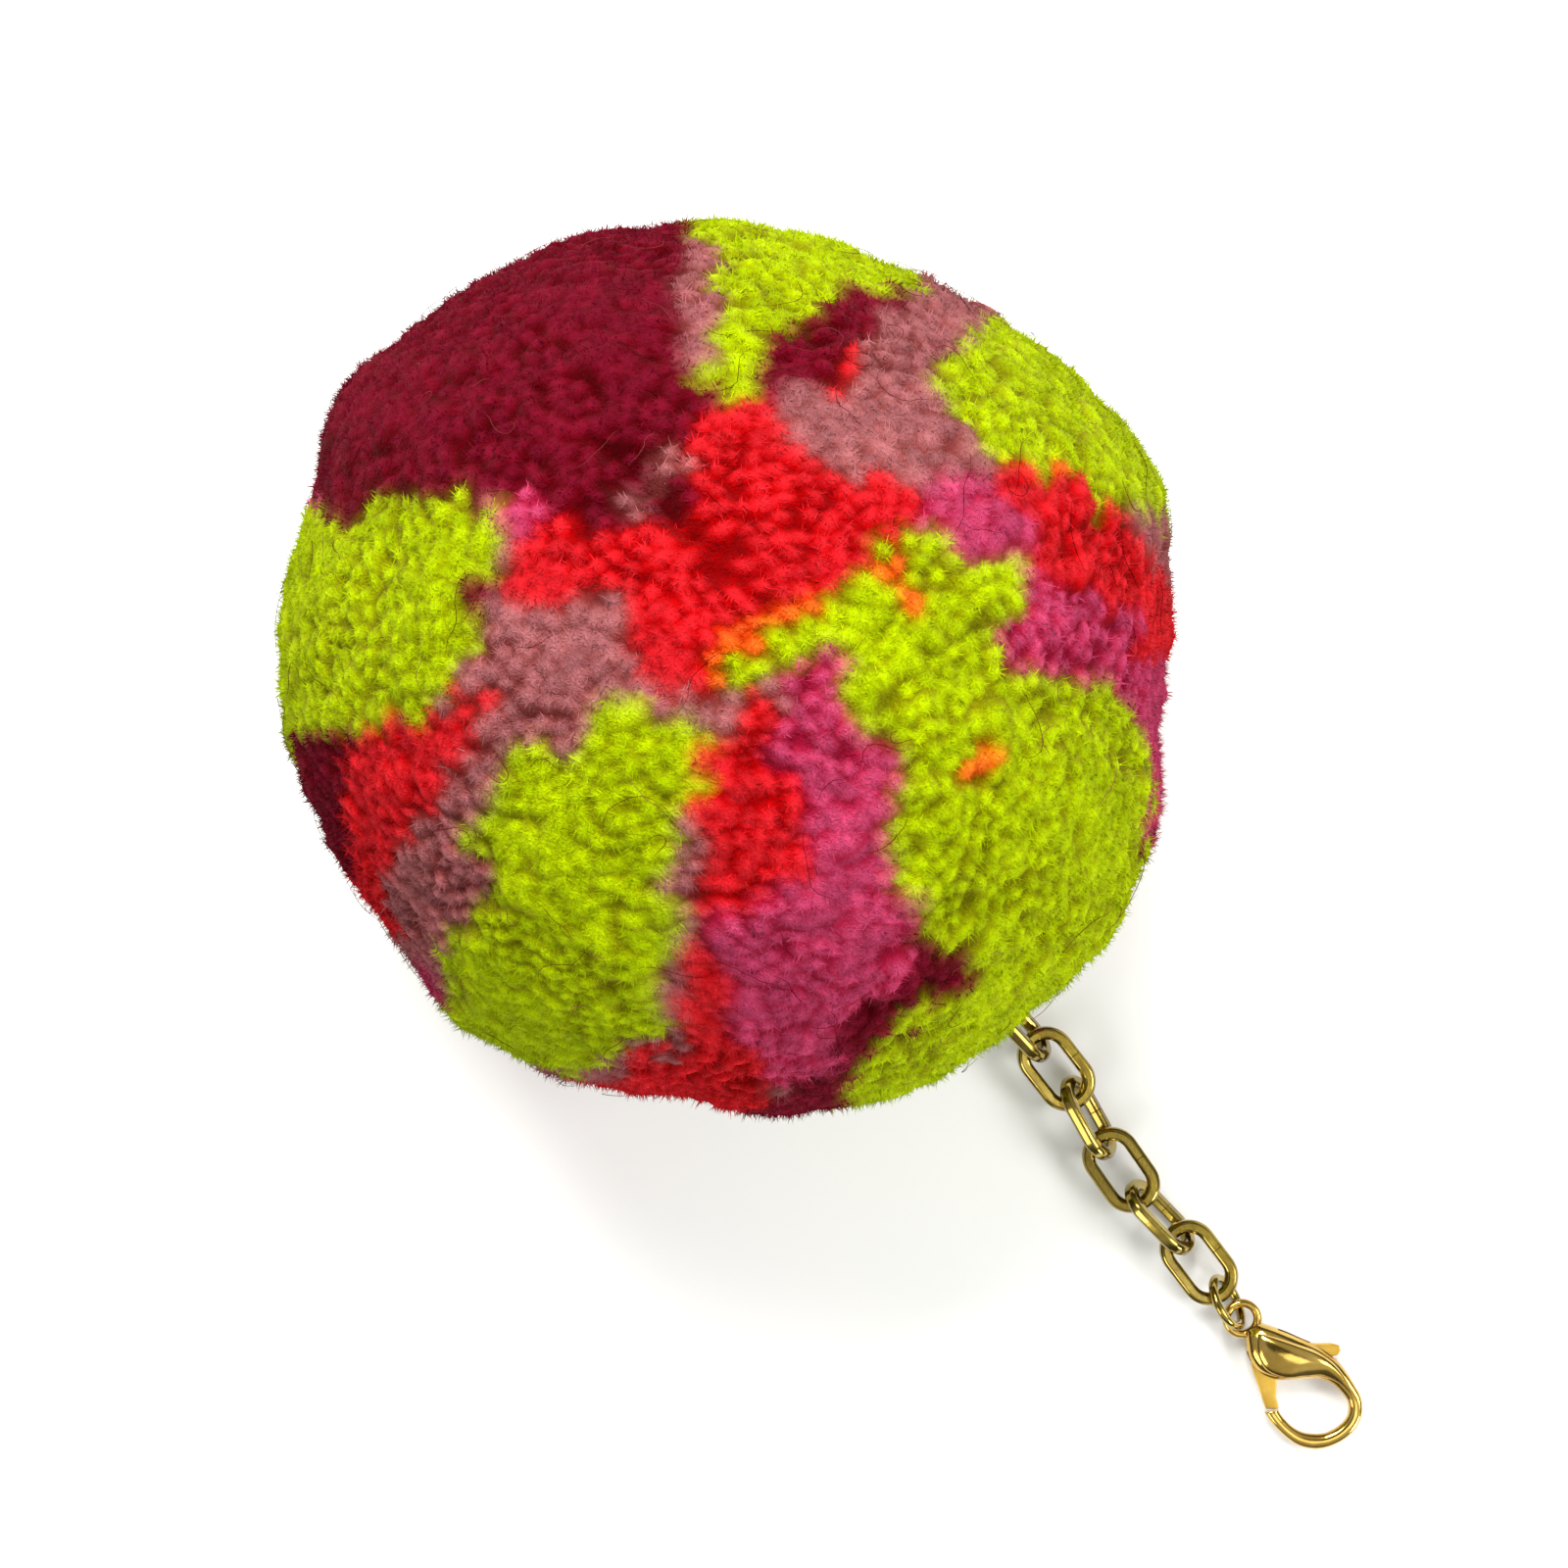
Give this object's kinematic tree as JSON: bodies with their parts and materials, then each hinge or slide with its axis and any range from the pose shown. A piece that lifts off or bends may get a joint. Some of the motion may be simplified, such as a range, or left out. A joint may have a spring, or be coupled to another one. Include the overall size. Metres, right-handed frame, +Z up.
{
  "type": "yarn pom pom charm with chain and clasp",
  "caption": "Multicoloured cut-yarn pom pom with a short link chain, jump ring and lobster clasp, lying on a surface.",
  "frame": {"origin": "centre of the small flat spot on which the ball of yarn rests", "axes": "+Z up through the ball, +X along the chain away from the ball, +Y across the chain"},
  "size_m": [0.1853, 0.1069, 0.1042],
  "materials": {
    "yarn": "matte cut yarn in patches of yellow-green, red, burgundy, dusty pink and orchid",
    "plated_brass": "bright gold plating",
    "cast_brass": "polished gold plating"
  },
  "bodies": {
    "charm": {"pom_pom": "yarn", "chain_link_1": "plated_brass", "chain_link_2": "plated_brass", "chain_link_3": "plated_brass", "chain_link_4": "plated_brass", "chain_link_5": "plated_brass", "chain_link_6": "plated_brass", "chain_link_7": "plated_brass", "chain_link_8": "plated_brass", "chain_link_9": "plated_brass", "jump_ring": "plated_brass", "clasp_casting": "cast_brass", "clasp_rivet": "cast_brass"},
    "lever": {"clasp_lever": "cast_brass"}
  },
  "joints": [
    {"name": "clasp_lever_pivot", "type": "hinge", "parent": "charm", "child": "lever", "pos_m": [0.1152, 0.00001, 0.0024], "axis": [0, 0, 1], "range_deg": [0, 26], "stiffness_Nm_per_rad": 0.02, "springref_deg": -17.19}
  ]
}
